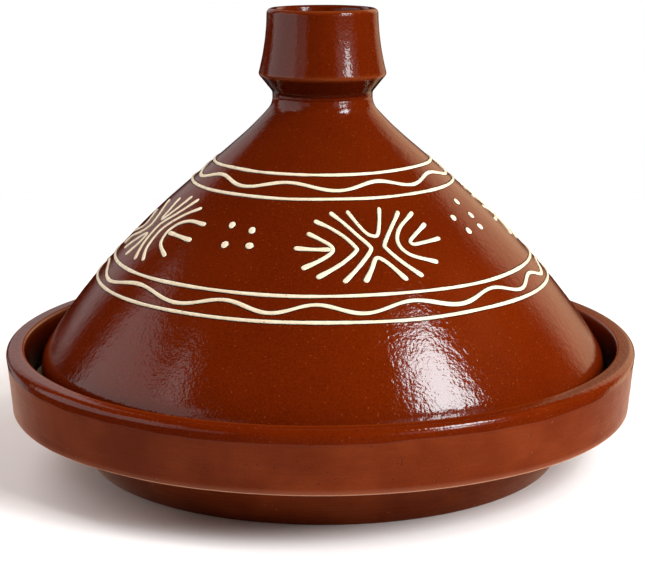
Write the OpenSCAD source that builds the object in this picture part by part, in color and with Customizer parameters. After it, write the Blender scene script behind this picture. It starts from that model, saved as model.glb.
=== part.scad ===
// Tagine: a shallow terracotta dish and a tall conical lid that stands in the
// dish's gallery. The lid carries a cup-shaped knob and raised lines of white
// trailed slip. Sizes are in millimetres, angles in degrees. +Z is up, and the
// origin is on the table at the middle of the dish's foot. The front faces -Y.

/* [Dish] */
// Outside diameter at the rim
dish_d = 300; // [296:1:308]
// Height of the rim above the table
dish_h = 55.4; // [53:0.2:60]
// Thickness of the upright rim wall
rim_wall = 8.6; // [7:0.1:9]
// Rounding of the rim's outer top edge
rim_round = 3; // [2:0.5:5]
// Height of the upright band below the rim
band_h = 30; // [29:0.5:33]
// How far the band leans out towards the rim
band_lean = 4.8; // [3:0.2:8]
// Diameter where the lower body meets the underside of the band
step_d = 259; // [256:1:264]
// Diameter of the foot on the table
foot_d = 225; // [216:1:230]
// Width of the foot ring
foot_ring_w = 13; // [10:1:18]
// Depth of the recess inside the foot ring
foot_recess = 2; // [1:0.5:3]
// Depth of the gallery, the ledge that the lid stands on, below the rim
gallery_depth = 20.4; // [18:0.2:22]
// Diameter of the bowl's mouth, inside the gallery
bowl_d = 248; // [244:1:250]
// Lean of the bowl's wall
bowl_lean = 20; // [15:1:25]
// Radius of the curve from the bowl's wall into its floor
bowl_curve = 28; // [20:1:30]
// Thickness of the floor above the recess
floor_t = 7; // [6:0.5:9]

/* [Lid cone] */
// Outside diameter at the lid's foot
lid_d = 270.4; // [268:0.2:272]
// Wall thickness
lid_wall = 7.5; // [6:0.5:8]
// Height of the nearly upright foot of the lid
lid_foot_h = 11; // [9:0.5:13]
// Lean of the foot
lid_foot_lean = 4; // [3:0.5:6]
// Radius of the shoulder between the foot and the side
shoulder_r = 18; // [14:1:22]
// Lean of the side just above the shoulder
low_lean = 33.3; // [32:0.1:35]
// Lean of the side near the top
high_lean = 49.3; // [48:0.1:50]
// Radius of the side's slight bulge
side_r = 340; // [330:5:350]
// Diameter of the neck under the knob
neck_d = 47; // [44:1:50]
// Lean where the side's slow flare turns into the neck
neck_lean = 42; // [40:1:44]
// Radius of the slow flare below the neck
flare_r = 160; // [140:5:180]
// Radius of the hollow at the neck
neck_r = 9; // [7:0.5:11]

/* [Knob] */
// Diameter of the collar, the knob's widest edge
collar_d = 60; // [58:0.2:64]
// Height of the collar above the neck
collar_up = 10.6; // [9:0.2:12]
// Diameter of the lip
lip_d = 52; // [50:1:54]
// Height of the knob
knob_h = 41; // [38:0.5:44]
// Thickness of the lip
lip_wall = 5; // [4.5:0.5:6]
// Depth of the cup inside the knob
cup_depth = 28; // [20:1:29]
// Diameter of the cup's floor
cup_floor_d = 32; // [28:1:34]

/* [Slip decoration] */
// Width of the ring lines
line_w = 1.4; // [1.2:0.1:2.2]
// Width of the wavy lines
wave_w = 1.7; // [1.4:0.1:2.4]
// Width of the strokes in the branch motifs
stroke_w = 1.9; // [1.6:0.1:2.4]
// Diameter of the dots
dot_d = 3.4; // [2.6:0.1:4]
// Height of the slip above the lid's surface
slip_h = 0.4; // [0.3:0.1:0.8]
// Depth that the slip is bedded into the lid's surface
slip_bed = 0.3; // [0.2:0.1:0.4]
// Distance up the slope from the lid's foot to the middle of the upper band
upper_band_up = 132.1; // [130:0.1:136]
// Distance between the upper band's two ring lines
upper_band_w = 14.2; // [12:0.2:17]
// Waves in the upper band
upper_waves = 9; // [6:1:12]
// Distance up the slope to the middle of the lower band
lower_band_up = 67.6; // [64:0.1:72]
// Distance between the lower band's two ring lines
lower_band_w = 12.8; // [11:0.2:15]
// Waves in the lower band
lower_waves = 15; // [12:1:18]
// Height of the waves to either side of their middle line
wave_swing = 2.2; // [1.5:0.1:2.8]
// Distance up the slope to the middle of the branch motifs
motif_up = 98.4; // [96:0.2:100]
// Direction of the front motif, to the right of the front
motif_turn = 16.7; // [-45:0.1:45]

/* [Hidden] */
LINES = ["upper_band_top_line", "upper_band_bottom_line", "lower_band_top_line", "lower_band_bottom_line"];
MOTIFS = ["branch_motif_front", "branch_motif_right", "branch_motif_back", "branch_motif_left"];
DOTS = ["dots_front_right", "dots_back_right", "dots_back_left", "dots_front_left"];

$fn = 180;
clay = [0.48, 0.2, 0.09];
glaze = [0.45, 0.14, 0.03];
slip = [0.95, 0.89, 0.78];

// Rounded corners and curves
arc_step = 6;        // turn between two points on a rounded corner
line_steps = 14;     // points on each long curve of the lid's side

// Heights and radii that follow from the driving dimensions
rim_r = dish_d / 2;
step_z = dish_h - band_h;
ledge_z = dish_h - gallery_depth;
floor_z = foot_recess + floor_t;
inner_rim_r = rim_r - rim_wall;
edge_round = 1.5;    // rim's inner edge and the lid's foot
sharp_round = 1;     // edges of the foot ring and the band's lower edge
corner_round = 2.5;  // hollows, the gallery's edges, the knob's lip and the height of its short stem
collar_round = 2;    // edge of the knob's collar and the inner edge of its lip
stem_round = 3;      // hollow between the stem and the collar
cup_round = 6;       // corner of the cup's floor

// Hand-drawn unevenness of each wavy line, in degrees: azimuth of one crest, how far
// the crests drift round the lid and from where, how far they waver and from where
upper_hand = [-56.9, 2.2, 63, -1.4, -35];
lower_hand = [-9.9, 9.7, 81, 1.9, -34];
waverings = 4;       // times that the crests waver in one turn
wave_points = 10;    // points along each wave
quarter = 90;        // turn from one branch motif to the next; the dots stand halfway

// Strokes of the branch motif, as distances round the lid and up its slope from
// the motif's middle: a fork with a prong on the left, chevrons that open to both
// sides, a notch above and a notch below. Each stroke runs from tip to tip.
BRANCH = [
    [[-30, 7.2], [-24.6, 4.2], [-19.9, 0.6], [-19.9, -2.6], [-24.6, -6.6], [-31, -10.5]],
    [[-34.9, -0.5], [-27.5, -1], [-22.4, -1]],
    [[-27, 14], [-20.6, 10.8], [-14.3, 6], [-9.7, 0.3], [-9.7, -2.3], [-16.2, -8.5], [-25.1, -15]],
    [[-19.2, 18.5], [-13.3, 13], [-7.4, 5.8], [-3.3, 0.4], [-3.3, -2.2], [-8.4, -9], [-15.2, -17.2]],
    [[-10.3, 19], [-3.9, 8], [-0.5, 5.5], [1.8, 6], [4.1, 11], [7.4, 20]],
    [[-7.4, -17.2], [-4.4, -11.5], [-2, -6.6], [0.2, -6.6], [3.7, -10.5], [7.9, -17.5]],
    [[17.2, 17.2], [9.6, 9], [3.9, 1], [4.1, -1.8], [8.4, -8.5], [14.7, -16.5]],
    [[25.1, 16], [14.5, 9], [10.3, 1.5], [13.3, -5.5], [23.8, -10.8]],
    [[28.5, 9], [21.6, 5], [16.6, 1.4], [17.5, -0.6], [23.6, -0.2], [31.5, 0.6]],
];

// The same motif drawn the other way round, with the fork on the right
BRANCH_TURNED = [
    [[42, 7.6], [31.8, 7.8], [24.8, 5], [21.6, 0.8], [21.3, -3], [23.4, -7.4], [31.4, -12]],
    [[39.9, -1.8], [31.2, -1.1], [24.9, -0.9]],
    [[31, 15.2], [23.6, 10.4], [17, 3.6], [14.2, -2.4], [15.2, -11], [19.4, -17]],
    [[22.8, 19], [15.4, 9], [9.4, 2.2], [8.4, -4.2], [9.8, -11.5], [12.8, -18]],
    [[13.8, 19.2], [10.4, 10.6], [6.8, 4.4], [4.8, 4.8], [4, 9.3], [2, 16]],
    [[-7.6, -17.2], [-2.8, -11.4], [2.6, -6.2], [4.9, -6.6], [4.4, -12], [1.4, -18.6]],
    [[-12.4, 12], [-4.8, 5.5], [-1.2, 0.2], [-1.6, -3], [-5.6, -6.9], [-14.4, -12], [-17, -16.7]],
    [[-17.9, 4], [-12.9, 1.2], [-10.2, -2], [-11.4, -5], [-15.9, -7.5], [-22.6, -10.5]],
];

FOUR_DOTS = [[-5.6, 9.6], [6.2, 7.8], [-4.1, -1.2], [7.8, -0.4]];
FIVE_DOTS = [[1.6, 17.1], [2.9, 8.2], [-13.6, 9.6], [1.6, 1.4], [-10.3, 1.2]];

// ---- curves ----

function unit(v) = v / norm(v);
function spot2(p) = [p[0], p[1]];

// Points that round corner b, a point [x, y, radius], between neighbours a and c
function corner(a, b, c) =
    len(b) < 3 ? [b] :
    let (
        to_a = unit(spot2(a) - spot2(b)),
        to_c = unit(spot2(c) - spot2(b)),
        half = acos(to_a * to_c) / 2,
        centre = spot2(b) + unit(to_a + to_c) * b[2] / sin(half),
        first = spot2(b) + to_a * b[2] / tan(half) - centre,
        start = atan2(first[1], first[0]),
        turn = (180 - 2 * half) * sign(to_a[0] * to_c[1] - to_a[1] * to_c[0]),
        steps = max(2, ceil(abs(turn) / arc_step))
    )
    [for (i = [0:steps]) centre + b[2] * [cos(start - turn * i / steps), sin(start - turn * i / steps)]];

// A closed outline with its corners rounded
function rounded(corners) =
    let (n = len(corners))
    [for (i = [0:n - 1]) each corner(corners[(i + n - 1) % n], corners[i], corners[(i + 1) % n])];

// Profile points are [radius, height, lean]. The lean is the angle that the
// wall makes with the vertical, positive where it leans towards the axis.
function straight(from, length) =
    [[from[0] - length * sin(from[2]), from[1] + length * cos(from[2]), from[2]]];

// An arc on from a profile point until its lean is "to"; the points after the first
function bend(from, radius, to, steps) =
    let (way = to > from[2] ? 1 : -1)
    [for (i = [1:steps]) let (lean = from[2] + (to - from[2]) * i / steps)
        [from[0] + way * radius * (cos(lean) - cos(from[2])),
         from[1] + way * radius * (sin(lean) - sin(from[2])), lean]];

function last(list) = list[len(list) - 1];
function inset(p, depth) = [p[0] - depth * cos(p[2]), p[1] - depth * sin(p[2])];

// ---- the lid's outside, from its foot to the neck ----

foot_start = [lid_d / 2, ledge_z, lid_foot_lean];
foot_top = straight(foot_start, lid_foot_h);
shoulder = bend(last(foot_top), shoulder_r, low_lean, line_steps);
side = bend(last(shoulder), side_r, high_lean, line_steps);
// Radius that the flare and the neck's hollow take up above the straight top of the side
flare_run = flare_r * (cos(neck_lean) - cos(high_lean)) + neck_r * (1 - cos(neck_lean));
side_top = straight(last(side), (last(side)[0] - neck_d / 2 - flare_run) / sin(high_lean));
flare = bend(last(side_top), flare_r, neck_lean, 4);
neck = bend(last(flare), neck_r, 0, line_steps);
outside = concat([foot_start], foot_top, shoulder, side, side_top, flare, neck);
neck_z = last(outside)[1];
top_z = neck_z + knob_h;

// Distance up the slope to each point of the outside, and the surface at a given distance
slope = [for (i = 0, s = 0; i < len(outside);
    s = s + (i + 1 < len(outside) ? norm(spot2(outside[i + 1]) - spot2(outside[i])) : 0), i = i + 1) s];
function along(s, part) = lookup(s, [for (i = [0:len(outside) - 1]) [slope[i], outside[i][part]]]);
function lid_r(s) = along(s, 0);

// Point on the lid: azimuth to the right of the front, distance up the slope, and height above the surface
function on_lid(azimuth, s, out) =
    let (lean = along(s, 2), r = lid_r(s) + out * cos(lean))
    [r * sin(azimuth), -r * cos(azimuth), along(s, 1) + out * sin(lean)];

// ---- clay pieces ----

module dish() {
    band_low_r = rim_r - (band_h - rim_round) * tan(band_lean);
    gallery_r = inner_rim_r - gallery_depth * tan(band_lean);
    color(clay) rotate_extrude() polygon(rounded([
        [0, foot_recess],
        [foot_d / 2 - foot_ring_w, foot_recess, sharp_round],
        [foot_d / 2 - foot_ring_w, 0, sharp_round],
        [foot_d / 2, 0, sharp_round],
        [step_d / 2, step_z, corner_round],
        [band_low_r, step_z, sharp_round],
        [rim_r + rim_round * tan(band_lean), dish_h, rim_round],
        [inner_rim_r, dish_h, edge_round],
        [gallery_r, ledge_z, corner_round],
        [bowl_d / 2, ledge_z, corner_round],
        [bowl_d / 2 - (ledge_z - floor_z) * tan(bowl_lean), floor_z, bowl_curve],
        [0, floor_z]
    ]));
}

module lid_cone() {
    inside = [for (p = concat(shoulder, side, side_top)) inset(p, lid_wall)];
    dome_foot = [last(inside)[0], last(inside)[1], high_lean];
    dome = bend(dome_foot, dome_foot[0] / cos(high_lean), 90, line_steps);
    color(glaze) rotate_extrude() polygon(rounded(concat(
        [[lid_d / 2 - lid_wall / cos(lid_foot_lean), ledge_z, edge_round]],
        [[lid_d / 2, ledge_z, edge_round]],
        [for (i = [1:len(outside) - 1]) spot2(outside[i])],
        [[0, neck_z]],
        [[0, last(dome)[1]]],
        [for (i = [len(dome) - 2:-1:0]) spot2(dome[i])],
        [for (i = [len(inside) - 1:-1:0]) inside[i]]
    )));
}

module lid_knob() {
    side_steps = 8;
    collar_z = neck_z + collar_up;
    lip_r = lip_d / 2;
    flared_side = [for (i = [1:side_steps - 1]) let (t = i / side_steps)
        [lip_r + (collar_d / 2 - lip_r) * pow(1 - t, 2), collar_z + (knob_h - collar_up) * t]];
    color(glaze) rotate_extrude() polygon(rounded(concat(
        [[0, neck_z], [neck_d / 2, neck_z]],
        [[neck_d / 2, neck_z + corner_round, stem_round]],
        [[collar_d / 2, collar_z, collar_round]],
        flared_side,
        [[lip_r, top_z, corner_round]],
        [[lip_r - lip_wall, top_z, collar_round]],
        [[cup_floor_d / 2, top_z - cup_depth, cup_round]],
        [[0, top_z - cup_depth]]
    )));
}

// ---- slip decoration ----

// Cross-section of a line of slip: across, as a share of its width, and up, as a share of its height
BEAD = [[-0.5, -1], [-0.38, 0.7], [0, 1], [0.38, 0.7], [0.5, -1]];

// Ring of points across a slip line that passes p = [azimuth, distance up the slope]
// in the direction [round, up], with that width and height
function bead_ring(p, heading, width, height) =
    let (across = [-heading[1], heading[0]], degrees_per_mm = 180 / PI / lid_r(p[1]))
    [for (b = BEAD) on_lid(
        p[0] + across[0] * b[0] * width * degrees_per_mm,
        p[1] + across[1] * b[0] * width,
        b[1] < 0 ? -slip_bed : b[1] * height)];

function heading(from, to) =
    unit([(to[0] - from[0]) * PI / 180 * lid_r((from[1] + to[1]) / 2), to[1] - from[1]]);

// Solid along rings of points, closed on itself or capped at its ends
module swept(rings, closed) {
    n = len(rings);
    m = len(rings[0]);
    bands = closed ? n : n - 1;
    sides = [for (i = [0:bands - 1], k = [0:m - 1]) let (
        a = i * m + k,
        b = i * m + (k + 1) % m,
        c = (i + 1) % n * m + k,
        d = (i + 1) % n * m + (k + 1) % m
    ) each [[a, d, b], [a, c, d]]];
    caps = closed ? [] : concat(
        [for (k = [1:m - 2]) [0, k, k + 1]],
        [for (k = [1:m - 2]) [(n - 1) * m, (n - 1) * m + k + 1, (n - 1) * m + k]]);
    polyhedron([for (r = rings) each r], concat(sides, caps), convexity = 10);
}

// Smooth curve through points, with "steps" points for each stretch
function smooth(p, steps) = [
    for (i = [0:len(p) - 2], k = [0:steps - 1]) let (
        a = p[max(i - 1, 0)],
        b = p[i],
        c = p[i + 1],
        d = p[min(i + 2, len(p) - 1)],
        t = k / steps
    ) (2 * b + (c - a) * t + (2 * a - 5 * b + 4 * c - d) * t * t + (3 * b - a - 3 * c + d) * t * t * t) / 2,
    last(p)
];

// One stroke of slip through points on the lid, wider at its tips, with rounded ends
module stroke(points) {
    path = smooth(points, 3);
    n = len(path);
    width = [for (i = [0:n - 1]) stroke_w * (0.85 + 0.35 * pow(2 * i / (n - 1) - 1, 2))];
    way = [for (i = [0:n - 1]) heading(path[max(i - 1, 0)], path[min(i + 1, n - 1)])];
    reach = 0.4;     // how far the rounded ends go on, as a share of the width
    narrow = 0.45;   // width of the last ring, as a share of the line's
    function past(i, mm) = path[i] + mm * [way[i][0] * 180 / PI / lid_r(path[i][1]), way[i][1]];
    swept(concat(
        [bead_ring(past(0, -reach * width[0]), way[0], narrow * width[0], slip_h / 2)],
        [for (i = [0:n - 1]) bead_ring(path[i], way[i], width[i], slip_h)],
        [bead_ring(past(n - 1, reach * width[n - 1]), way[n - 1], narrow * width[n - 1], slip_h / 2)]
    ), false);
}

// Turns distances from a motif's middle into a place on the lid
function place(azimuth, p) = [azimuth + p[0] * 180 / PI / lid_r(motif_up), motif_up + p[1]];

module branch_motif(azimuth, strokes) {
    color(slip) for (points = strokes) stroke([for (p = points) place(azimuth, p)]);
}

module dot_group(azimuth, dots) {
    color(slip) for (d = dots) let (p = place(azimuth, d), base = on_lid(p[0], p[1], -slip_bed))
        translate(base) rotate([0, 90 - along(p[1], 2), p[0] - 90])
        rotate_extrude($fn = 36) polygon(concat([[0, 0]],
            [for (a = [0:15:90]) [dot_d / 2 * cos(a), slip_bed + slip_h * sin(a)]],
            [[0, slip_bed + slip_h]]));
}

// Ring line round the lid, domed across its width
module ring_line(s) {
    rounding = 0.5;  // height of the line's shoulders, as a share of its full height
    function across(x, out) = let (p = on_lid(90, s + x, out)) [p[0], p[2]];
    color(slip) rotate_extrude() polygon([
        across(-line_w / 2, -slip_bed),
        across(line_w / 2, -slip_bed),
        across(line_w / 2, slip_h * rounding),
        across(line_w / 4, slip_h),
        across(-line_w / 4, slip_h),
        across(-line_w / 2, slip_h * rounding)
    ]);
}

// How far the crests of a wavy line stand off their even places at an azimuth a
function shift(a, hand) = hand[1] * sin(a + hand[2]) + hand[3] * sin(waverings * (a + hand[4]));

// Wavy line round the lid. Its crests drift and waver a little, as a hand-drawn line's do.
module wave_line(s, waves, hand) {
    steps = waves * wave_points;
    path = [for (i = [0:steps - 1]) let (a = 360 * i / steps)
        [a, s + wave_swing * cos(waves * (a - hand[0] - shift(a, hand)))]];
    rings = [for (i = [0:steps - 1]) let (
        before = i == 0 ? last(path) - [360, 0] : path[i - 1],
        after = i == steps - 1 ? path[0] + [360, 0] : path[i + 1]
    ) bead_ring(path[i], heading(before, after), wave_w, slip_h)];
    color(slip) swept(rings, true);
}

// ---- assembly ----

line_places = [upper_band_up + upper_band_w / 2, upper_band_up - upper_band_w / 2,
    lower_band_up + lower_band_w / 2, lower_band_up - lower_band_w / 2];

dish();
lid_cone();
lid_knob();
wave_line(upper_band_up, upper_waves, upper_hand);  // upper_band_wave
wave_line(lower_band_up, lower_waves, lower_hand);  // lower_band_wave
for (i = [0:3]) {
    ring_line(line_places[i]);
    branch_motif(motif_turn + quarter * i, i < 2 ? BRANCH : BRANCH_TURNED);
    dot_group(motif_turn + quarter * (i + 0.5), i % 2 == 0 ? FIVE_DOTS : FOUR_DOTS);
}
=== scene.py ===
"""Looks of the tagine: a thrown dish, a thrown conical lid with a cup-shaped knob, and white trailed slip.

Every mesh here is built in millimetres from the same driving sizes as the CAD, and written in metres.
The front faces -Y, +Z is up and the origin is on the table at the middle of the dish's foot.
"""

import math

import bpy
import numpy as np
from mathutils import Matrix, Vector


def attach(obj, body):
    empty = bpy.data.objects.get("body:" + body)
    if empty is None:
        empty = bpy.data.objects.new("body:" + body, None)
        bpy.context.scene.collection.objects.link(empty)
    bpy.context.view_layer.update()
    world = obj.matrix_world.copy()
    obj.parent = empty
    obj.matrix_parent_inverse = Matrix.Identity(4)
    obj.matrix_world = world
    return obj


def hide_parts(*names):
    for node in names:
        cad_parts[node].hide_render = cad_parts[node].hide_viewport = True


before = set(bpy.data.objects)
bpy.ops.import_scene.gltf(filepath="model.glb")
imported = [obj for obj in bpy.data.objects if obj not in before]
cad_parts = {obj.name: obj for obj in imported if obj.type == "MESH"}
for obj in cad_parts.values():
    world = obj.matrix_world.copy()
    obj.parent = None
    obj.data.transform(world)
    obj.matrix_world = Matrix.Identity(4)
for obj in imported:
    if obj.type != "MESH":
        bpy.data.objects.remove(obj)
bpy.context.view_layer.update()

MM = 0.001

# ---- sizes that the CAD has too, mm and degrees ----
RIM_R = 150.0
DISH_H = 55.4
RIM_WALL = 8.6
RIM_ROUND = 3.0
BAND_H = 30.0
BAND_LEAN = 4.8
STEP_R = 129.5
FOOT_R = 112.5
FOOT_RING_W = 13.0
FOOT_RECESS = 2.0
GALLERY_DEPTH = 20.4
BOWL_R = 124.0
BOWL_LEAN = 20.0
BOWL_CURVE = 28.0
FLOOR_T = 7.0

LID_R = 135.2
LID_WALL = 7.5
LID_FOOT_H = 11.0
LID_FOOT_LEAN = 4.0
SHOULDER_R = 18.0
LOW_LEAN = 33.3
HIGH_LEAN = 49.3
SIDE_R = 340.0
NECK_R = 23.5
NECK_LEAN = 42.0
FLARE_R = 160.0
NECK_HOLLOW_R = 9.0

COLLAR_R = 30.0
COLLAR_UP = 10.6
LIP_R = 26.0
KNOB_H = 41.0
LIP_WALL = 5.0
CUP_DEPTH = 28.0
CUP_FLOOR_R = 16.0

LINE_W = 1.4
WAVE_W = 1.65
STROKE_W = 1.85
DOT_R = 1.7
SLIP_H = 0.4
# Middle line, width and waves of each band, azimuth of one crest, and how far its crests drift and waver from where
UPPER_BAND = {"up": 132.1, "width": 14.2, "waves": 9, "crest": -56.9,
              "drift": (2.2, 63), "waver": (-1.4, -35)}
LOWER_BAND = {"up": 67.6, "width": 12.8, "waves": 15, "crest": -9.9,
              "drift": (9.7, 81), "waver": (1.9, -34)}
WAVERINGS = 4           # times that the crests waver in one turn
WAVE_SWING = 2.24
MOTIF_UP = 98.4
MOTIF_TURN = 16.7

EDGE_ROUND = 1.5
SHARP_ROUND = 1.0
CORNER_ROUND = 2.5
COLLAR_ROUND = 2.0
STEM_ROUND = 3.0
CUP_ROUND = 6.0

# Strokes of the branch motifs: distances round the lid and up its slope from the motif's middle
BRANCH = [
    [[-30, 7.2], [-24.6, 4.2], [-19.9, 0.6], [-19.9, -2.6], [-24.6, -6.6], [-31, -10.5]],
    [[-34.9, -0.5], [-27.5, -1], [-21.4, -1]],
    [[-27, 14], [-20.6, 10.8], [-14.3, 6], [-9.7, 0.3], [-9.7, -2.3], [-16.2, -8.5], [-25.1, -15]],
    [[-19.2, 18.5], [-13.3, 13], [-7.4, 5.8], [-3.3, 0.4], [-3.3, -2.2], [-8.4, -9], [-15.2, -17.2]],
    [[-10.3, 19], [-3.9, 8], [-0.5, 5.5], [1.8, 6], [4.1, 11], [7.4, 20]],
    [[-7.4, -17.2], [-4.4, -11.5], [-2, -6.6], [0.2, -6.6], [3.7, -10.5], [7.9, -17.5]],
    [[17.2, 17.2], [9.6, 9], [3.9, 1], [4.1, -1.8], [8.4, -8.5], [14.7, -16.5]],
    [[25.1, 16], [14.5, 9], [10.3, 1.5], [13.3, -5.5], [23.8, -10.8]],
    [[28.5, 9], [21.6, 5], [16.6, 1.4], [17.5, -0.6], [23.6, -0.2], [31.5, 0.6]],
]
BRANCH_TURNED = [
    [[42, 7.6], [31.8, 7.8], [24.8, 5], [21.6, 0.8], [21.3, -3], [23.4, -7.4], [31.4, -12]],
    [[39.9, -1.8], [31.2, -1.1], [23.9, -0.8]],
    [[31, 15.2], [23.6, 10.4], [17, 3.6], [14.2, -2.4], [15.2, -11], [19.4, -17]],
    [[22.8, 19], [15.4, 9], [9.4, 2.2], [8.4, -4.2], [9.8, -11.5], [12.8, -18]],
    [[13.8, 19.2], [10.4, 10.6], [6.8, 4.4], [4.8, 4.8], [4, 9.3], [2, 16]],
    [[-7.6, -17.2], [-2.8, -11.4], [2.6, -6.2], [4.9, -6.6], [4.4, -12], [1.4, -18.6]],
    [[-12.4, 12], [-4.8, 5.5], [-1.2, 0.2], [-1.6, -3], [-5.6, -6.9], [-14.4, -12], [-17, -16.7]],
    [[-17.9, 4], [-12.9, 1.2], [-10.2, -2], [-11.4, -5], [-15.9, -7.5], [-22.6, -10.5]],
]
FOUR_DOTS = [[-5.6, 9.6], [6.2, 7.8], [-4.1, -1.2], [7.8, -0.4]]
FIVE_DOTS = [[1.6, 17.1], [2.9, 8.2], [-13.6, 9.6], [1.6, 1.4], [-10.3, 1.2]]
SIDES = ["front", "right", "back", "left"]
CORNERS = ["front_right", "back_right", "back_left", "front_left"]

# ---- sizes of the detail that only this model has, mm ----
SEGMENTS = 480          # faces round the dish and the lid
RING_GAP = 2.2          # longest distance between two rings of vertices
GLAZE_STEP = 0.12       # thickness of the glaze where it ends on the dish's band
GLAZE_DROP = 5.8        # how far down the outside of the rim the glaze runs
MOAT_W = 0.5            # dark line of glaze beside each line of slip
DISH_OVAL = 0.35        # how far the dish is out of round
DISH_LEFT = 0.9         # how far the dish stands off the middle of its foot
RIM_DIP = 1.7           # how far the rim dips at the front and rises at the back
NECK_DARKENING = 0.32       # how far the lid's glaze is darkened at the neck, as a share of the darkest colour
KNOB_DARKENING = 0.36       # how far the whole knob's glaze is darkened, as a share of the darkest colour
MOAT_H = 0.06

LEDGE_Z = DISH_H - GALLERY_DEPTH
FLOOR_Z = FOOT_RECESS + FLOOR_T
STEP_Z = DISH_H - BAND_H


def tan(degrees):
    return math.tan(math.radians(degrees))


def sin(degrees):
    return math.sin(math.radians(degrees))


def cos(degrees):
    return math.cos(math.radians(degrees))


# ---- outlines ----

def rounded(corners, turn=7.5):
    """Outline through corners (r, z) or (r, z, radius), with the second kind rounded. Its ends stay as they are."""
    out = [corners[0][:2]]
    for a, b, c in zip(corners, corners[1:], corners[2:]):
        if len(b) < 3:
            out.append(b)
            continue
        p = np.array(b[:2], float)
        to_a, to_c = (np.array(q[:2]) - p for q in (a, c))
        to_a, to_c = to_a / np.linalg.norm(to_a), to_c / np.linalg.norm(to_c)
        half = math.acos(float(np.clip(to_a @ to_c, -1, 1))) / 2
        middle = to_a + to_c
        centre = p + middle / np.linalg.norm(middle) * b[2] / math.sin(half)
        first = p + to_a * b[2] / math.tan(half) - centre
        start = math.atan2(first[1], first[0])
        swing = (math.pi - 2 * half) * np.sign(to_a[0] * to_c[1] - to_a[1] * to_c[0])
        steps = max(3, math.ceil(abs(math.degrees(swing)) / turn))
        for i in range(steps + 1):
            angle = start - swing * i / steps
            out.append(tuple(centre + b[2] * np.array([math.cos(angle), math.sin(angle)])))
    return out + [corners[-1][:2]]


def divided(points, longest):
    """The same outline with its long stretches cut into shorter ones."""
    out = [points[0]]
    for a, b in zip(points, points[1:]):
        n = max(1, math.ceil(math.dist(a, b) / longest))
        out += [tuple(np.array(a) + (np.array(b) - np.array(a)) * i / n) for i in range(1, n + 1)]
    return np.array(out)


def bend(start, radius, to, longest=RING_GAP):
    """Arc on from a profile point (r, z, lean) until its lean from the vertical is "to"."""
    r, z, lean = start
    way = 1 if to > lean else -1
    steps = max(3, math.ceil(radius * abs(math.radians(to - lean)) / longest))
    leans = [lean + (to - lean) * i / steps for i in range(1, steps + 1)]
    return [(r + way * radius * (cos(a) - cos(lean)), z + way * radius * (sin(a) - sin(lean)), a)
            for a in leans]


def straight(start, length):
    r, z, lean = start
    return [(r - length * sin(lean), z + length * cos(lean), lean)]


def lid_profile():
    """Outside of the lid from its foot to its neck, and the part of it that the inside follows."""
    path = [(LID_R, LEDGE_Z, LID_FOOT_LEAN)]
    path += straight(path[-1], LID_FOOT_H)
    first = len(path)
    path += bend(path[-1], SHOULDER_R, LOW_LEAN)
    path += bend(path[-1], SIDE_R, HIGH_LEAN)
    above = FLARE_R * (cos(NECK_LEAN) - cos(HIGH_LEAN)) + NECK_HOLLOW_R * (1 - cos(NECK_LEAN))
    path += straight(path[-1], (path[-1][0] - NECK_R - above) / sin(HIGH_LEAN))
    last = len(path)
    path += bend(path[-1], FLARE_R, NECK_LEAN)
    path += bend(path[-1], NECK_HOLLOW_R, 0, longest=1)
    return np.array(path), np.array(path[first:last])


OUTSIDE, SIDE = lid_profile()
SLOPE = np.concatenate([[0], np.cumsum(np.hypot(*np.diff(OUTSIDE[:, :2], axis=0).T))])
NECK_Z = OUTSIDE[-1, 1]
TOP_Z = NECK_Z + KNOB_H


def dish_outline():
    """From the middle of the bowl over the rim and down to the middle of the foot."""
    inner_r = RIM_R - RIM_WALL
    return rounded([
        (0, FLOOR_Z),
        (BOWL_R - (LEDGE_Z - FLOOR_Z) * tan(BOWL_LEAN), FLOOR_Z, BOWL_CURVE),
        (BOWL_R, LEDGE_Z, CORNER_ROUND),
        (inner_r - GALLERY_DEPTH * tan(BAND_LEAN), LEDGE_Z, CORNER_ROUND),
        (inner_r, DISH_H, EDGE_ROUND),
        (RIM_R + RIM_ROUND * tan(BAND_LEAN), DISH_H, RIM_ROUND),
        (RIM_R - (BAND_H - RIM_ROUND) * tan(BAND_LEAN), STEP_Z, SHARP_ROUND),
        (STEP_R, STEP_Z, CORNER_ROUND),
        (FOOT_R, 0, SHARP_ROUND),
        (FOOT_R - FOOT_RING_W, 0, SHARP_ROUND),
        (FOOT_R - FOOT_RING_W, FOOT_RECESS, SHARP_ROUND),
        (0, FOOT_RECESS),
    ])


def lid_outline():
    """From the middle of the neck down the outside to the foot, and up the inside to the peak of the hollow."""
    inside = [(r - LID_WALL * cos(lean), z - LID_WALL * sin(lean)) for r, z, lean in SIDE]
    dome_r, dome_z = inside[-1]
    dome = bend((dome_r, dome_z, HIGH_LEAN), dome_r / cos(HIGH_LEAN), 90)
    return rounded(
        [(0, NECK_Z)] + [tuple(p[:2]) for p in OUTSIDE[:0:-1]]
        + [(LID_R, LEDGE_Z, EDGE_ROUND), (LID_R - LID_WALL / cos(LID_FOOT_LEAN), LEDGE_Z, EDGE_ROUND)]
        + inside + [p[:2] for p in dome[:-1]] + [(0, dome[-1][1])])


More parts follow.
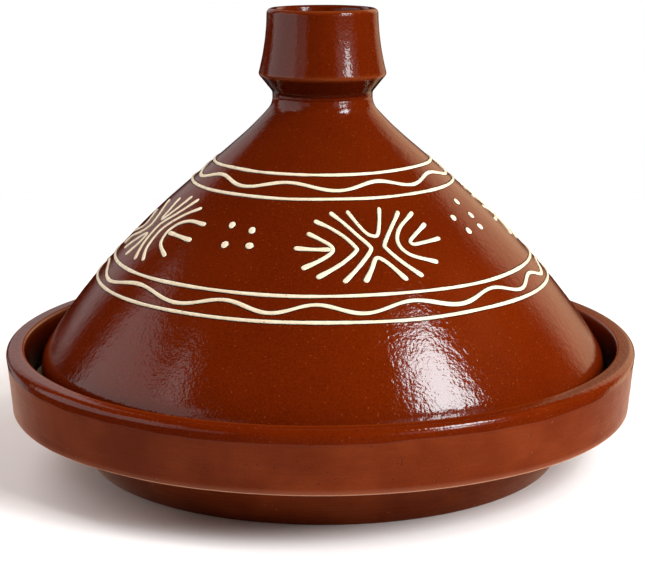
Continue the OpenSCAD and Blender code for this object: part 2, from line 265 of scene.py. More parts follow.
def knob_outline():
    """From the middle of the cup over the lip and the collar down to the middle of the neck."""
    collar_z = NECK_Z + COLLAR_UP
    side = [(LIP_R + (COLLAR_R - LIP_R) * (1 - t) ** 2, collar_z + (KNOB_H - COLLAR_UP) * t)
            for t in np.linspace(0, 1, 17)[1:-2]]
    return rounded(
        [(0, TOP_Z - CUP_DEPTH), (CUP_FLOOR_R, TOP_Z - CUP_DEPTH, CUP_ROUND), (LIP_R - LIP_WALL, TOP_Z, COLLAR_ROUND),
         (LIP_R, TOP_Z, CORNER_ROUND)] + side[::-1]
        + [(COLLAR_R, collar_z, COLLAR_ROUND), (NECK_R, NECK_Z + CORNER_ROUND, STEM_ROUND), (NECK_R, NECK_Z),
           (0, NECK_Z)])


# ---- hand-made unevenness, mm ----

def waves(points, wavelength, seed, count=7):
    """Smooth random values of about -1 to 1 over points, from plane waves of about that wavelength."""
    rng = np.random.default_rng(seed)
    total = np.zeros(points.shape[:-1])
    for _ in range(count):
        way = rng.normal(size=3)
        way *= 2 * math.pi / (wavelength * rng.uniform(0.7, 1.5) * np.linalg.norm(way))
        total += np.sin(points @ way + rng.uniform(0, 2 * math.pi))
    return total / math.sqrt(count)


def thrown(points):
    """How far the clay stands out from a true turned surface: turning rings, soft lumps and a slight oval."""
    x, y, z = np.moveaxis(points, -1, 0)
    azimuth = np.arctan2(x, -y)
    rings = np.sin(2 * math.pi * z / 7.3 + azimuth + 0.8 * waves(points, 60, 11))
    fine_rings = np.sin(2 * math.pi * z / 2.9 + 3 * azimuth + waves(points, 40, 12))
    strength = 0.6 + 0.4 * waves(points, 70, 13)
    return (0.02 * rings * strength + 0.006 * fine_rings + 0.08 * waves(points, 55, 14)
            + 0.01 * waves(points, 14, 15))


# ---- meshes ----

def add_mesh(name, points, faces, attributes=None):
    """A smooth-shaded object from points in mm, with point attributes of the same order."""
    mesh = bpy.data.meshes.new(name)
    mesh.from_pydata((np.asarray(points) * MM).tolist(), [], faces)
    for key, values in (attributes or {}).items():
        layer = mesh.attributes.new(key, "FLOAT", "POINT")
        layer.data.foreach_set("value", np.asarray(values, np.float32).ravel())
    mesh.polygons.foreach_set("use_smooth", [True] * len(mesh.polygons))
    mesh.update()
    obj = bpy.data.objects.new(name, mesh)
    bpy.context.scene.collection.objects.link(obj)
    return obj


def knob_shape(points):
    """The knob's unevenness, its painted shade under the collar and in the cup over a slight darkening of the whole
    knob, and its lighter edges at the collar and lip, which stand for thin glaze and a painted highlight.
    """
    x, y, z = np.moveaxis(points, -1, 0)
    r = np.hypot(x, y)
    collar_z = NECK_Z + COLLAR_UP
    # Painted shade under the collar and in the cup, over a slight darkening of the whole knob
    under_collar_shade = np.clip((collar_z - 0.6 - z) / 1.2, 0, 1) * np.clip((z - NECK_Z - 0.6) / 1.0, 0, 1)
    cup = np.clip((LIP_R - LIP_WALL - r) / 1.5, 0, 1) * (z > collar_z)
    # Lighter edges at the collar and lip: thin glaze and a painted highlight
    collar_edge = np.exp(-((z - collar_z) / 0.9) ** 2) * (r > LIP_R)
    lip_edge = np.exp(-((z - TOP_Z) / 0.9) ** 2) * (r > LIP_R - 2)
    pool_and_shade = np.maximum(np.maximum(under_collar_shade, cup), KNOB_DARKENING)
    return thrown(points), 0 * points, {"pool_and_shade": pool_and_shade, "edge": 0.5 * collar_edge + 0.7 * lip_edge}


def lid_shape(points):
    """The lid's unevenness. Its glaze is darker towards the neck, and the edge at its foot is lighter, which stands for
    thin glaze and a painted highlight.
    """
    z = points[..., 2]
    # Lighter edge at the foot: thin glaze and a painted highlight
    edge = np.exp(-((z - LEDGE_Z) / 0.9) ** 2)
    # Darker towards the neck
    return thrown(points), 0 * points, {"pool_and_shade": NECK_DARKENING * np.clip((z - 90) / (NECK_Z - 90), 0, 1), "edge": edge}


def lathe(name, outline, segments, shape):
    """Solid of revolution. The outline starts and ends on the axis and runs down the outside. shape(points)
    says how far each point moves along the outline's normal and its shift as a vector, and its attributes."""
    rings = outline[1:-1]
    way = np.gradient(rings, axis=0)
    normal = np.stack([-way[:, 1], way[:, 0]], -1) / np.linalg.norm(way, axis=1)[:, None]
    angle = np.arange(segments) * 2 * math.pi / segments
    out = np.stack([np.sin(angle), -np.cos(angle)], -1)

    def spin(rz):
        return np.concatenate([rz[:, None, :1] * out, np.broadcast_to(rz[:, None, 1:], (len(rz), segments, 1))], -1)

    points, normals = spin(rings), spin(normal)
    move, shift, attributes = shape(points)
    points = (points + normals * move[..., None] + shift).reshape(-1, 3)
    index = np.arange(len(points)).reshape(len(rings), segments)
    after = np.roll(index, -1, axis=1)
    quads = np.stack([index[:-1], index[1:], after[1:], after[:-1]], -1).reshape(-1, 4).tolist()
    first, last = len(points), len(points) + 1
    caps = [[first, a, b] for a, b in zip(index[0], after[0])]
    caps += [[last, b, a] for a, b in zip(index[-1], after[-1])]
    points = np.vstack([points, [0, 0, outline[0][1]], [0, 0, outline[-1][1]]])
    attributes = {k: np.append(v.ravel(), [v[0, 0], v[-1, 0]]) for k, v in attributes.items()}
    return add_mesh(name, points, quads + [[int(i) for i in c] for c in caps], attributes)


def dish_shape(points):
    """The dish's unevenness, how far each point is above the glaze's edge, painted shade in the gap between lid and
    rim, a lighter line at the rim's inner edge for thin glaze and a painted highlight, and a painted highlight along
    the band's lower edge.
    """
    x, y, z = np.moveaxis(points, -1, 0)
    azimuth = np.arctan2(x, -y)
    r = np.hypot(x, y)
    round_dish = points * [1, 1, 0]
    edge = DISH_H - GLAZE_DROP + 0.35 * waves(round_dish, 60, 21) + 0.15 * waves(round_dish, 16, 22)
    top_ring = np.argmax(z[:, 0] + 0.01 * (r[:, 0] > RIM_R - RIM_WALL / 2))
    outside = np.arange(len(z))[:, None] >= top_ring
    above = np.where(outside, z - edge, DISH_H)
    glazed = np.clip(above / 1.6 + 0.5, 0, 1)
    turning = 0.03 * np.sin(2 * math.pi * z / 1.7 + 2 * azimuth) * (1 - glazed)
    on_table = np.clip(z / 2.5, 0, 1)
    move = on_table * (thrown(points) + turning) + GLAZE_STEP * (glazed - 1) * (above < 4)
    inner_r = RIM_R - RIM_WALL
    # Lighter line at the rim's inner edge, for thin glaze and a painted highlight
    rim_break_and_highlight = np.exp(-((r - inner_r - 0.5) / 0.8) ** 2) * (z > DISH_H - 3)
    # Painted highlight along the band's lower edge
    band_edge_highlight = np.exp(-((z - STEP_Z - 0.3) / 0.45) ** 2) * (r > STEP_R + 12)
    # Painted shade in the gap between lid and rim
    gallery_shade = np.clip((LEDGE_Z + 18 - z) / 12, 0, 1) * (r > BOWL_R - 4) * (r < inner_r + 1) * ~outside
    return move, dish_shift(x, y, z, azimuth), {"glaze": above, "edge": rim_break_and_highlight, "band_highlight": band_edge_highlight, "pool_and_shade": gallery_shade}


def dish_shift(x, y, z, azimuth):
    """The dish is a little oval, it stands slightly to the left of its foot, and its rim dips to the front."""
    height = np.clip(z / STEP_Z, 0, 1)
    oval = DISH_OVAL * np.cos(2 * azimuth + 0.7) * height / RIM_R
    dip = RIM_DIP * y / RIM_R * np.clip((z - LEDGE_Z) / (DISH_H - RIM_ROUND - LEDGE_Z), 0, 1)
    return np.stack([x * oval - DISH_LEFT * height, y * oval, dip], -1)


# ---- slip ----

def on_lid(azimuth, up, out=0.0):
    """Points on the lid's uneven outside: degrees right of the front, distance up the slope and height above it."""
    r, z, lean = (np.interp(up, SLOPE, OUTSIDE[:, i]) for i in range(3))
    az, lean = np.radians(azimuth), np.radians(lean)
    points = np.stack([r * np.sin(az), -r * np.cos(az), z], -1)
    normals = np.stack([np.cos(lean) * np.sin(az), -np.cos(lean) * np.cos(az), np.sin(lean)], -1)
    return points + normals * (thrown(points) + out)[..., None]


def lid_r(up):
    return np.interp(up, SLOPE, OUTSIDE[:, 0])


def smooth_path(p, gap):
    """Catmull-Rom curve through points [round, up] in mm, with points about gap apart."""
    p = np.array(p, float)
    ends = np.vstack([2 * p[0] - p[1], p, 2 * p[-1] - p[-2]])
    out = []
    for a, b, c, d in zip(ends, ends[1:], ends[2:], ends[3:]):
        for t in np.linspace(0, 1, 24, endpoint=False):
            out.append((2 * b + (c - a) * t + (2 * a - 5 * b + 4 * c - d) * t ** 2
                        + (3 * b - a - 3 * c + d) * t ** 3) / 2)
    out = np.array(out + [p[-1]])
    way = np.concatenate([[0], np.cumsum(np.linalg.norm(np.diff(out, axis=0), axis=1))])
    even = np.linspace(0, way[-1], max(4, int(way[-1] / gap)))
    return np.stack([np.interp(even, way, out[:, i]) for i in (0, 1)], -1)


# Cross-section of a line of slip: across as a share of half its width, up as a share of its height
DOME = [(math.cos(a), math.sin(a) ** 0.7) for a in np.linspace(math.pi, 0, 13)]


def bead(path, width, height, closed):
    """Points, faces and moat values of one line of slip along a path [round, up] in mm from azimuth 0."""
    ahead = np.roll(path, -1, axis=0) - np.roll(path, 1, axis=0)
    if closed:
        ahead[0] = ahead[-1] = [1, 0]
    else:
        ahead[0], ahead[-1] = path[1] - path[0], path[-1] - path[-2]
    ahead /= np.linalg.norm(ahead, axis=1)[:, None]
    side = np.stack([-ahead[:, 1], ahead[:, 0]], -1)
    moat = MOAT_W * np.minimum(1, width / STROKE_W * 1.4)
    across = [-(width / 2 + moat), -(width / 2 + moat * 0.98)] + [c * width / 2 for c, _ in DOME]
    across += [width / 2 + moat * 0.98, width / 2 + moat]
    bed = np.full(len(path), -0.3)
    lift = [bed, np.full(len(path), 0.01)] + [MOAT_H + u * height for _, u in DOME]
    lift += [np.full(len(path), 0.01), bed]
    dark = [1, 1] + [0] * len(DOME) + [1, 1]
    thick = [0, 0] + [min(1, max(0, 1.4 * (1 - abs(c)))) for c, _ in DOME] + [0, 0]
    across, lift = np.stack(across, 1), np.stack(lift, 1)
    flat = path[:, None, :] + side[:, None, :] * across[..., None]
    n, m = lift.shape
    index = np.arange(n * m).reshape(n, m)
    rows = np.roll(index, -1, axis=0) if closed else index[1:]
    index_rows = index if closed else index[:-1]
    a, b = index_rows, rows
    faces = np.stack([a, b, np.roll(b, -1, 1), np.roll(a, -1, 1)], -1).reshape(-1, 4).tolist()
    if not closed:
        faces += [index[0].tolist(), index[-1][::-1].tolist()]
    return flat, lift, faces, np.tile(dark, (n, 1)), np.tile(thick, (n, 1))


def hand(length, n, seed, amount):
    """How a trailed line's width or place varies along it, about -amount to amount."""
    along = np.linspace(0, length, n)
    line = np.stack([along, 0 * along, 0 * along], -1)
    return amount * (0.6 * waves(line, 22, seed) + 0.4 * waves(line, 7, seed + 500))


def wave_height(azimuth, band):
    """How far a band's wavy line is above the band's middle. Its crests drift and waver round the lid."""
    (drift, drift_from), (waver, waver_from) = band["drift"], band["waver"]
    shift = drift * np.sin(np.radians(azimuth + drift_from))
    shift += waver * np.sin(np.radians(WAVERINGS * (azimuth + waver_from)))
    return WAVE_SWING * np.cos(np.radians(band["waves"] * (azimuth - band["crest"] - shift)))


def ring(up, width, seed, band=None):
    """A line round the lid at a distance up its slope, wavy if it's given its band."""
    n = 900 if band else 480
    azimuth = np.linspace(0, 360, n, endpoint=False)
    swing = wave_height(azimuth, band) if band else 0
    circle = np.stack([np.sin(np.radians(azimuth)), np.cos(np.radians(azimuth)), 0 * azimuth], -1) * 90
    hand_up = 0.18 * waves(circle, 60, seed)
    thickness = 1 + 0.10 * waves(circle, 24, seed + 1) + 0.05 * waves(circle, 8, seed + 2)
    radius = lid_r(up)
    path = np.stack([np.radians(azimuth) * radius, up + swing + hand_up], -1)
    flat, lift, faces, dark, thick = bead(path, width * thickness, SLIP_H * (0.9 + 0.1 * thickness), True)
    azimuths = np.degrees(flat[..., 0] / radius)
    return on_lid(azimuths, flat[..., 1], lift), faces, dark, thick


def stroke(points, azimuth, seed):
    """One trailed stroke with round, slightly swollen ends."""
    path = smooth_path(points, 0.55)
    gap = np.linalg.norm(path[1] - path[0])
    cap = np.array([0.97, 0.85, 0.62, 0.32]) * STROKE_W * 0.62
    head = [path[0] - (path[1] - path[0]) / gap * c for c in cap]
    tail = [path[-1] + (path[-1] - path[-2]) / gap * c for c in cap[::-1]]
    full = np.vstack([head, path, tail])
    way = np.concatenate([[0], np.cumsum(np.linalg.norm(np.diff(full, axis=0), axis=1))])
    length = way[-1]
    from_end = np.minimum(way, length - way)
    swell = 0.88 + 0.25 * np.exp(-((from_end - 2.0) / 3.0) ** 2)
    width = STROKE_W * swell * (1 + hand(length, len(full), seed, 0.07))
    reach = STROKE_W * 0.62
    round_end = np.sqrt(np.clip(1 - (1 - np.clip(from_end / reach + 0.03, 0, 1)) ** 2, 0.02, 1))
    height = SLIP_H * (0.85 + 0.2 * swell) * (1 + hand(length, len(full), seed + 50, 0.08))
    flat, lift, faces, dark, thick = bead(full, width * round_end, height * round_end, False)
    radius = lid_r(MOTIF_UP)
    return on_lid(azimuth + np.degrees(flat[..., 0] / radius), MOTIF_UP + flat[..., 1], lift), faces, dark, thick


def dot(place, azimuth, seed):
    """One round drop of slip."""
    rng = np.random.default_rng(seed)
    around = np.linspace(0, 2 * math.pi, 28, endpoint=False)
    radius = DOT_R * (1 + 0.06 * np.cos(2 * around + rng.uniform(0, 6)) + 0.03 * np.cos(3 * around + rng.uniform(0, 6)))
    levels = [(1 + MOAT_W / DOT_R, -0.3), (0.98 + MOAT_W / DOT_R, 0.01), (1, MOAT_H)]
    levels += [(math.cos(a), MOAT_H + SLIP_H * math.sin(a) ** 0.8) for a in np.linspace(0.25, 1.45, 7)]
    share, lift = np.array(levels).T
    flat = np.array(place) + (share[:, None] * radius)[..., None] * np.stack([np.cos(around), np.sin(around)], -1)
    lift = np.broadcast_to(lift[:, None], flat.shape[:2])
    dark = np.broadcast_to(np.array([1.0, 1.0] + [0.0] * (len(levels) - 2))[:, None], lift.shape)
    thick = np.broadcast_to(np.clip(1.4 * (1 - share), 0, 1)[:, None], lift.shape)
    index = np.arange(lift.size).reshape(lift.shape)
    a, b = index[:-1], index[1:]
    faces = np.stack([a, np.roll(a, -1, 1), np.roll(b, -1, 1), b], -1).reshape(-1, 4).tolist()
    faces += [index[-1].tolist(), index[0][::-1].tolist()]
    points = on_lid(azimuth + np.degrees(flat[..., 0] / lid_r(MOTIF_UP)), MOTIF_UP + flat[..., 1], lift)
    return points, faces, dark, thick


def add_slip(node, parts, material):
    """One object for a CAD node of slip, from its lines or drops."""
    points, faces, moat, thick, start = [], [], [], [], 0
    for p, f, dark, middle in parts:
        points.append(p.reshape(-1, 3))
        moat.append(np.asarray(dark, float).ravel())
        thick.append(np.asarray(middle, float).ravel())
        faces += [[i + start for i in face] for face in f]
        start += len(points[-1])
    obj = add_mesh("slip_" + node, np.vstack(points), faces, {"moat": np.concatenate(moat), "thick": np.concatenate(thick)})
    finish_piece(obj, "lid", node, material)


def finish_piece(obj, body, node, material):
    obj.data.materials.append(material)
    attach(obj, body)
    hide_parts(node)


# ---- materials ----

class Nodes:
    """Short way to add nodes to a material's tree."""

    def __init__(self, name):
        self.material = bpy.data.materials.new(name)
        self.material.use_nodes = True
        self.tree = self.material.node_tree
        self.shader = self.tree.nodes["Principled BSDF"]
        self.place = self.add("ShaderNodeTexCoord").outputs["Object"]

    def add(self, kind, settings=None, **inputs):
        node = self.tree.nodes.new(kind)
        for key, value in (settings or {}).items():
            setattr(node, key, value)
        for key, value in inputs.items():
            self.put(node.inputs[int(key[1:])] if key[0] == "i" and key[1:].isdigit() else node.inputs[key], value)
        return node

    def put(self, socket, value):
        if isinstance(value, bpy.types.NodeSocket):
            self.tree.links.new(value, socket)
        else:
            socket.default_value = value

    def noise(self, size_mm, detail=2.0, stretch=(1, 1, 1), roughness=0.5):
        """Noise with features of about that size, stretched by those factors along X, Y and Z."""
        place = self.add("ShaderNodeMapping", i0=self.place, i3=[1 / s for s in stretch]).outputs[0]
        return self.add("ShaderNodeTexNoise", Vector=place, Scale=1 / (size_mm * MM), Detail=detail,
                        Roughness=roughness).outputs["Fac"]

    def spots(self, size_mm, share, softness=0.08):
        """1 in round spots about size_mm across that cover about that share of the cells, else 0."""
        cell = self.add("ShaderNodeTexVoronoi", Vector=self.place, Scale=1 / (size_mm * 2.2 * MM), Randomness=1.0)
        near = self.ramp(cell.outputs["Distance"], 0.27, 0.27 - softness)
        pick = self.add("ShaderNodeSeparateColor", i0=cell.outputs["Color"]).outputs[0]
        chosen = self.math("LESS_THAN", pick, share)
        return self.math("MULTIPLY", near, chosen)

    def math(self, operation, a, b=0.0):
        return self.add("ShaderNodeMath", {"operation": operation}, i0=a, i1=b).outputs[0]

    def ramp(self, value, low, high, out_low=0.0, out_high=1.0):
        return self.add("ShaderNodeMapRange", {"interpolation_type": "SMOOTHSTEP"}, Value=value, i1=low, i2=high,
                        i3=out_low, i4=out_high).outputs[0]

    def linear(self, value, low, high, out_low, out_high):
        return self.add("ShaderNodeMapRange", Value=value, i1=low, i2=high, i3=out_low, i4=out_high).outputs[0]

    def mix(self, factor, a, b):
        """Colour mix."""
        node = self.add("ShaderNodeMix", {"data_type": "RGBA"})
        for socket, value in ((node.inputs[0], factor), (node.inputs[6], a), (node.inputs[7], b)):
            self.put(socket, value if not isinstance(value, tuple) else (*value, 1.0))
        return node.outputs[2]

    def blend(self, factor, a, b):
        """Number mix."""
        return self.add("ShaderNodeMix", {"data_type": "FLOAT"}, i0=factor, i2=a, i3=b).outputs[0]

    def attribute(self, name):
        return self.add("ShaderNodeAttribute", {"attribute_name": name}).outputs["Fac"]

    def bump(self, height, distance_mm, normal=None):
        node = self.add("ShaderNodeBump", Strength=1.0, Distance=distance_mm * MM, Height=height)
        if normal is not None:
            self.put(node.inputs["Normal"], normal)
        return node.outputs[0]


GLAZE_DEEP = (0.094, 0.0083, 0.0004)
GLAZE_WARM = (0.124, 0.0130, 0.0006)
# Darkest glaze: dark grain and the dark line beside the slip, and painted shade in the gap between lid and rim, under
# the knob's collar and in its cup
GLAZE_POOL_AND_SHADE = (0.028, 0.0024, 0.0003)
CLAY = (0.120, 0.0155, 0.0014)
CLAY_PALE = (0.168, 0.0265, 0.0040)
CLAY_DARK = (0.076, 0.0088, 0.0010)
SLIP = (0.790, 0.700, 0.525)
SLIP_WARM = (0.600, 0.480, 0.320)
SLIP_STAIN = (0.300, 0.120, 0.045)
GLAZE_FLECK = (0.260, 0.0600, 0.0160)
# Lighter edge colour: thin glaze and a painted highlight
EDGE_BREAK_AND_HIGHLIGHT = (0.260, 0.0560, 0.0120)
# Painted highlight along the band's lower edge
EDGE_HIGHLIGHT = (0.560, 0.280, 0.170)
PEEL_DEPTH = 0.085      # mm, height of the glaze's orange peel


def glaze_look(n):
    """Colour, roughness and bump height of the clear brown glaze over red clay."""
    cloud = n.ramp(n.noise(42, 3), 0.3, 0.7, 0.0, 0.5)
    colour = n.mix(cloud, GLAZE_DEEP, GLAZE_WARM)
    fine = n.noise(0.8, 3)
    colour = n.mix(n.ramp(fine, 0.5, 0.72, 0.0, 0.9), colour, GLAZE_WARM)
    colour = n.mix(n.ramp(fine, 0.46, 0.3, 0.0, 0.35), colour, GLAZE_POOL_AND_SHADE)
    colour = n.mix(n.math("MULTIPLY", n.spots(0.45, 0.05), 0.8), colour, GLAZE_FLECK)
    rough = n.linear(n.noise(14, 3), 0.3, 0.7, 0.07, 0.11)
    peel = n.math("ADD", n.noise(1.2, 1), n.math("MULTIPLY", n.noise(3.4, 1), 1.3))
    return colour, rough, peel


def glaze_material():
    n = Nodes("brown_glaze")
    colour, rough, peel = glaze_look(n)
    # Painted shade under the knob's collar and in its cup, with the whole knob and the lid's neck darkened
    colour = n.mix(n.math("MULTIPLY", n.attribute("pool_and_shade"), 0.85), colour, GLAZE_POOL_AND_SHADE)
    # Lighter edges at the knob's collar and lip and at the lid's foot: thin glaze and a painted highlight
    colour = n.mix(n.math("MULTIPLY", n.attribute("edge"), 0.6), colour, EDGE_BREAK_AND_HIGHLIGHT)
    n.put(n.shader.inputs["Base Color"], colour)
    n.put(n.shader.inputs["Roughness"], rough)
    n.put(n.shader.inputs["Normal"], n.bump(peel, PEEL_DEPTH))
    n.shader.inputs["IOR"].default_value = 1.52
    return n.material


def dish_material():
    """Glazed inside and over the rim, bare clay outside below the glaze's edge."""
    n = Nodes("dish_glaze_and_clay")
    colour, rough, peel = glaze_look(n)
    above = n.attribute("glaze")
    glazed = n.ramp(above, -1.1, 0.9)
    # Thicker glaze just above its edge, and painted shade in the gap between lid and rim
    pool_and_shade = n.math("MULTIPLY", n.ramp(above, 1.6, 0.2), glazed)
    pool_and_shade = n.math("MAXIMUM", n.math("MULTIPLY", pool_and_shade, 0.12), n.attribute("pool_and_shade"))
    colour = n.mix(pool_and_shade, colour, GLAZE_POOL_AND_SHADE)
    clay = n.mix(n.ramp(n.noise(30, 4), 0.35, 0.68), CLAY, CLAY_PALE)
    lines = n.noise(1.1, 3, stretch=(14, 14, 1))
    clay = n.mix(n.linear(lines, 0.3, 0.7, 0.0, 0.2), clay, CLAY_DARK)
    grain = n.noise(0.45, 3)
    clay = n.mix(n.ramp(grain, 0.56, 0.75, 0.0, 0.6), clay, CLAY_PALE)
    clay = n.mix(n.ramp(grain, 0.44, 0.28, 0.0, 0.6), clay, CLAY_DARK)
    clay = n.mix(n.spots(0.8, 0.04), clay, CLAY_DARK)
    # Painted highlight along the band's lower edge
    clay = n.mix(n.math("MULTIPLY", n.attribute("band_highlight"), 0.8), clay, EDGE_HIGHLIGHT)
    colour = n.mix(glazed, clay, colour)
    # Lighter line at the rim's inner edge: thin glaze and a painted highlight
    n.put(n.shader.inputs["Base Color"], n.mix(n.math("MULTIPLY", n.attribute("edge"), 0.7), colour, EDGE_BREAK_AND_HIGHLIGHT))
    clay_rough = n.linear(n.noise(9, 3), 0.3, 0.7, 0.42, 0.6)
    n.put(n.shader.inputs["Roughness"], n.blend(glazed, clay_rough, rough))
    clay_height = n.math("ADD", n.math("MULTIPLY", lines, 1.6), grain)
    clay_height = n.math("ADD", clay_height, n.math("MULTIPLY", n.spots(0.8, 0.04), -1.5))
    bump = n.bump(n.blend(glazed, clay_height, peel), PEEL_DEPTH)
    n.put(n.shader.inputs["Normal"], bump)
    # Weaker reflections where the gap between lid and rim is painted in shade
    shiny = n.linear(n.attribute("pool_and_shade"), 0.0, 1.0, 0.5, 0.12)
    n.put(n.shader.inputs["Specular IOR Level"], n.blend(glazed, 0.08, shiny))
    n.put(n.shader.inputs["Sheen Weight"], n.blend(glazed, 0.70, 0.0))
    n.shader.inputs["Sheen Roughness"].default_value = 0.25
    n.shader.inputs["Sheen Tint"].default_value = (1.0, 0.74, 0.58, 1.0)
    n.shader.inputs["IOR"].default_value = 1.52
    return n.material


def slip_material():
    """Cream slip under a clear glaze, with the brown glaze darker in the hollow beside each line."""
    n = Nodes("white_slip")
    warm = n.math("MULTIPLY", n.ramp(n.noise(3.5, 2), 0.35, 0.62, 0.25, 0.7), n.attribute("thick"))
    slip = n.mix(warm, SLIP, SLIP_WARM)
    slip = n.mix(n.spots(0.7, 0.035, 0.15), slip, SLIP_STAIN)
    moat = n.attribute("moat")
    dark = n.ramp(moat, 0.0, 0.25)
    n.put(n.shader.inputs["Base Color"], n.mix(dark, slip, GLAZE_POOL_AND_SHADE))
    n.put(n.shader.inputs["Roughness"], n.linear(n.noise(3, 2), 0.3, 0.7, 0.18, 0.32))
    n.put(n.shader.inputs["Normal"], n.bump(n.noise(0.8, 2), 0.02))
    n.shader.inputs["IOR"].default_value = 1.5
    return n.material


def floor_material():
    n = Nodes("floor_white")
    tint = n.linear(n.noise(60, 2), 0.3, 0.7, 0.0, 1.0)
    n.put(n.shader.inputs["Base Color"], n.mix(tint, (0.82, 0.82, 0.82), (0.84, 0.84, 0.84)))
    n.shader.inputs["Roughness"].default_value = 0.7
    n.shader.inputs["Specular IOR Level"].default_value = 0.2
    return n.material


# ---- the tagine ----

def build():
    glaze = glaze_material()
    slip = slip_material()
    dish = lathe("dish_body", divided(dish_outline(), RING_GAP), SEGMENTS, dish_shape)
    finish_piece(dish, "base", "dish", dish_material())
    lid = lathe("lid_shell", divided(lid_outline(), RING_GAP), SEGMENTS, lid_shape)
    finish_piece(lid, "lid", "lid_cone", glaze)
    knob = lathe("lid_knob_cup", divided(knob_outline(), 1.2), 240, knob_shape)
    finish_piece(knob, "lid", "lid_knob", glaze)

    for name, band, seed in (("upper", UPPER_BAND, 100), ("lower", LOWER_BAND, 200)):
        wave = ring(band["up"], WAVE_W, seed, band)
        add_slip(f"{name}_band_wave", [wave], slip)
        for edge, way in (("top", 0.5), ("bottom", -0.5)):
            line = ring(band["up"] + way * band["width"], LINE_W, seed + 20 + int(way * 10))
            add_slip(f"{name}_band_{edge}_line", [line], slip)
    for i, side in enumerate(SIDES):
        strokes = BRANCH if i < 2 else BRANCH_TURNED
        azimuth = MOTIF_TURN + 90 * i
        parts = [stroke(p, azimuth, 1000 + 100 * i + k) for k, p in enumerate(strokes)]
        add_slip(f"branch_motif_{side}", parts, slip)
    for i, corner in enumerate(CORNERS):
        dots = FIVE_DOTS if i % 2 == 0 else FOUR_DOTS
        azimuth = MOTIF_TURN + 45 + 90 * i
        add_slip(f"dots_{corner}", [dot(p, azimuth, 2000 + 10 * i + k) for k, p in enumerate(dots)], slip)


# ---- studio ----

def direction(azimuth, elevation):
    """Unit vector towards a direction, degrees right of the front and above the horizon."""
    return Vector((cos(elevation) * sin(azimuth), -cos(elevation) * cos(azimuth), sin(elevation)))


def softbox(name, azimuth, elevation, distance, width, height, radiance, colour=(1, 1, 1), aim=(0, 0, 0.09)):
    data = bpy.data.lights.new(name, "AREA")
    data.shape = "RECTANGLE"
    data.size, data.size_y = width, height
    data.energy = radiance * width * height * 4
    data.color = colour
    light = bpy.data.objects.new(name, data)
    bpy.context.scene.collection.objects.link(light)
    light.location = Vector(aim) + direction(azimuth, elevation) * distance
    light.rotation_euler = direction(azimuth, elevation).to_track_quat("Z", "Y").to_euler()
    light.visible_glossy = False
    return light


# What the glaze mirrors: azimuth from and to, elevation from and to, softness of the edges in degrees,
# brightness, and which of the tints it has
TINTS = [(1.0, 1.0, 1.0), (1.0, 0.66, 0.40), (0.88, 0.97, 1.0)]
MIRRORED = [
    (50, 72, 36, 54, 5, 17.0, 2),       # softbox right of the front
    (44, 55, 12, 27, 5, 11.0, 2),       # its lower edge
    (28, 66, 2, 28, 12, 0.6, 2),        # its stand
    (-118, -52, -8, 38, 8, 0.84, 0),    # pale panel on the left
    (-50, -32, -8, 24, 5, 0.38, 0),     # edge of the panel's stand
    (-80, -70, 37, 45, 5, 1.3, 0),      # gap above the panel
    (186, 222, 4, 30, 8, 0.42, 0),      # cove behind on the left
    (206, 226, -30, -4, 8, 0.3, 0),     # pale table on the left
    (130, 166, 0, 32, 14, 1.05, 1),     # wooden wall behind on the right
    (166, 176, 4, 24, 6, 0.22, 1),      # its far end
    (130, 156, -30, -2, 10, 1.0, 1),    # pale table on the right
    (84, 110, 34, 46, 14, 0.15, 1),     # near end of the wall
]
AMBIENT = (0.150, 0.126, 0.112)
ROOM_DARK = 0.004


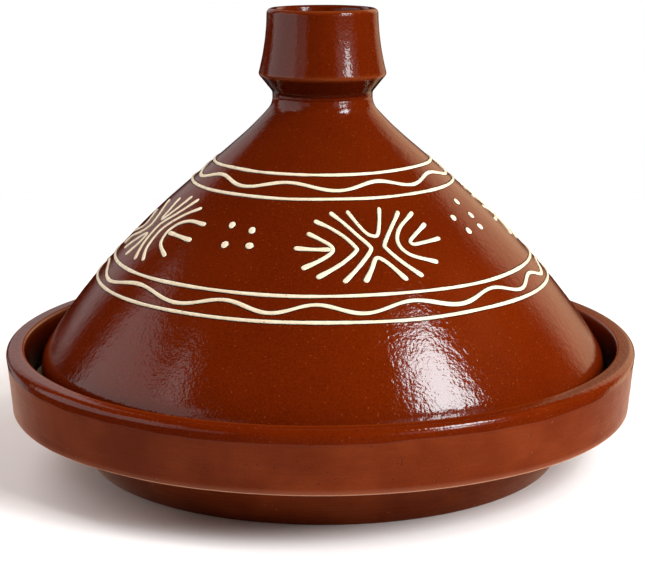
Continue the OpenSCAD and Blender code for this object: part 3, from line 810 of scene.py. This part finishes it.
def studio_world():
    """Even soft light for matt surfaces, and a dark room with pale patches for the glaze to mirror."""
    world = bpy.data.worlds.new("studio")
    bpy.context.scene.world = world
    world.use_nodes = True
    tree = world.node_tree
    tree.nodes.clear()

    def add(kind, settings=None, **inputs):
        node = tree.nodes.new(kind)
        for key, value in (settings or {}).items():
            setattr(node, key, value)
        for key, value in inputs.items():
            socket = node.inputs[int(key[1:])]
            if isinstance(value, bpy.types.NodeSocket):
                tree.links.new(value, socket)
            else:
                socket.default_value = value
        return node

    def calculate(operation, a, b=0.0):
        return add("ShaderNodeMath", {"operation": operation}, i0=a, i1=b).outputs[0]

    def between(value, low, high, soft):
        inside = calculate("SUBTRACT", (high - low) / 2, calculate("ABSOLUTE", calculate(
            "SUBTRACT", value, (low + high) / 2)))
        return add("ShaderNodeMapRange", {"interpolation_type": "SMOOTHSTEP"}, i0=inside, i1=-soft / 2,
                   i2=soft / 2, i3=0.0, i4=1.0).outputs[0]

    way = add("ShaderNodeSeparateXYZ", i0=add("ShaderNodeTexCoord").outputs["Generated"])
    from_front = calculate("ARCTAN2", way.outputs[0], calculate("MULTIPLY", way.outputs[1], -1))
    azimuth = calculate("MULTIPLY", from_front, 180 / math.pi)
    from_back = calculate("MODULO", calculate("ADD", azimuth, 360), 360)
    elevation = calculate("MULTIPLY", calculate("ARCSINE", way.outputs[2]), 180 / math.pi)
    shown = [ROOM_DARK] + [0.0] * (len(TINTS) - 1)
    for left, right, low, high, soft, bright, tint in MIRRORED:
        across = between(from_back if right > 180 else azimuth, left, right, soft)
        patch = calculate("MULTIPLY", across, between(elevation, low, high, soft))
        shown[tint] = calculate("ADD", calculate("MULTIPLY", patch, bright), shown[tint])
    channels = []
    for parts in zip(*TINTS):
        total = 0.0
        for bright, part in zip(shown, parts):
            total = calculate("ADD", total, calculate("MULTIPLY", bright, part))
        channels.append(total)
    mirrored = add("ShaderNodeCombineXYZ", i0=channels[0], i1=channels[1], i2=channels[2])
    path = add("ShaderNodeLightPath")
    soft = add("ShaderNodeMix", {"data_type": "RGBA"}, i0=path.outputs["Is Glossy Ray"], i6=(*AMBIENT, 1),
               i7=mirrored.outputs[0])
    seen = add("ShaderNodeMix", {"data_type": "RGBA"}, i0=path.outputs["Is Camera Ray"], i6=soft.outputs[2],
               i7=(1, 1, 1, 1))
    background = add("ShaderNodeBackground", i0=seen.outputs[2], i1=1.0)
    tree.links.new(background.outputs[0], add("ShaderNodeOutputWorld").inputs[0])
    world.cycles.sampling_method = "NONE"


def studio():
    studio_world()
    softbox("front_right", 50, 33, 1.3, 0.6, 0.6, 17.6)
    softbox("right", 56, 54, 1.3, 0.3, 0.3, 12.0)
    softbox("left", -98, 30, 1.2, 1.0, 0.72, 2.6, (1, 0.92, 0.90))
    softbox("far_right", 106, 8, 1.3, 0.8, 0.4, 3.4, (1, 0.84, 0.70))
    softbox("far_left", -124, 10, 1.3, 0.8, 0.4, 2.6, (1, 0.86, 0.78))
    softbox("left_behind", -140, 34, 1.4, 0.7, 0.7, 4.6, (1, 0.92, 0.90))
    softbox("right_behind", 135, 32, 1.5, 0.8, 0.8, 2.2, (1, 0.97, 0.93))
    corners = [(-1600, -1000), (1600, -1000), (1600, 700), (-1600, 700)]
    floor = add_mesh("floor", [(x, y, 0) for x, y in corners], [(0, 1, 2, 3)])
    floor.data.materials.append(floor_material())
    floor.visible_glossy = False
    camera_data = bpy.data.cameras.new("camera")
    camera_data.lens = 95.50
    camera = bpy.data.objects.new("camera", camera_data)
    bpy.context.scene.collection.objects.link(camera)
    camera.location = (0, -0.8021, 0.25894)
    camera.rotation_euler = (math.radians(90 - 12.5), 0, 0)
    bpy.context.scene.camera = camera
    bpy.context.scene.view_settings.view_transform = "Standard"


build()
studio()
